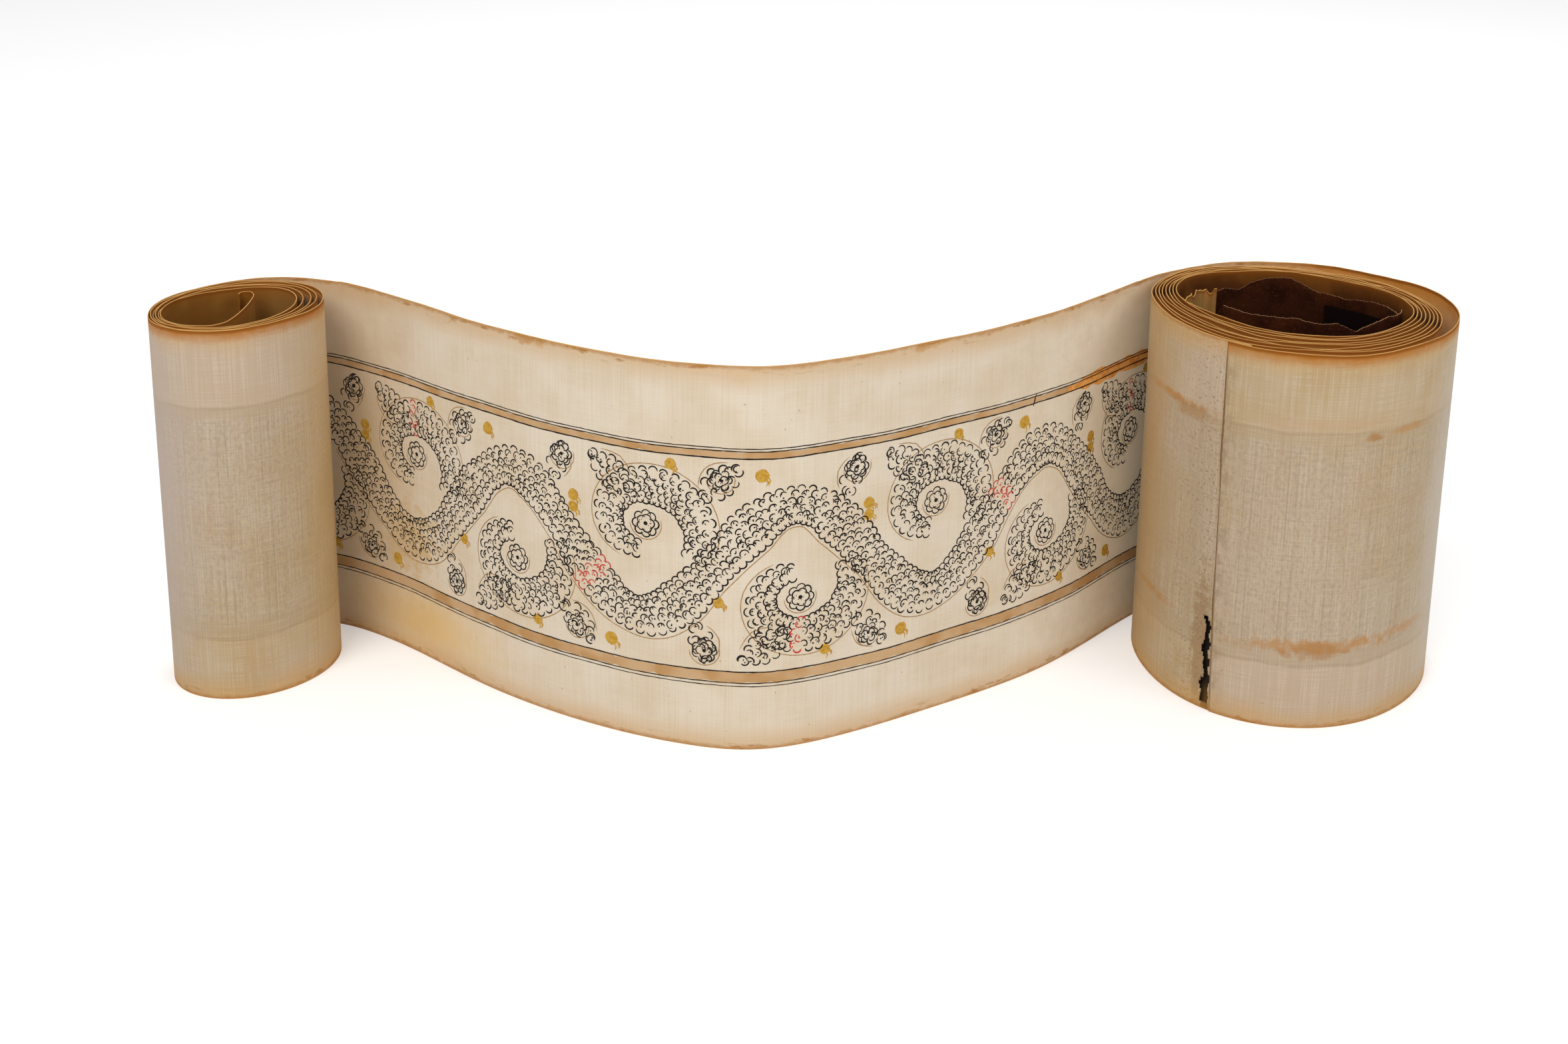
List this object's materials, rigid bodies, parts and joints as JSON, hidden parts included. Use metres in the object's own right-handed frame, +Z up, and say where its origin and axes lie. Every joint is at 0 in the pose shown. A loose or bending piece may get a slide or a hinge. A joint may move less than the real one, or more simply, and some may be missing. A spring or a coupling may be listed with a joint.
{
  "type": "paper scroll",
  "caption": "Long narrow paper scroll standing on its edge, wound into a small and a large roll with an open, ruled and patterned stretch bowed between them.",
  "frame": {"origin": "middle of the plan's bounding box, on the surface that the scroll stands on", "axes": "+X from the small roll to the large roll, +Y to the back, away from the side that the open stretch bows to, +Z up along the rolls"},
  "size_m": [0.3354, 0.0978, 0.1],
  "materials": {
    "ruled_paper": "matte, aged cream paper with thin ink rules",
    "plain_paper": "matte, aged cream paper with brown stains",
    "dark_leaf": "matte, dark brown torn paper"
  },
  "bodies": {
    "root": {"text_sheet": "ruled_paper", "inner_sheet": "plain_paper", "end_leaf": "dark_leaf"}
  },
  "joints": []
}
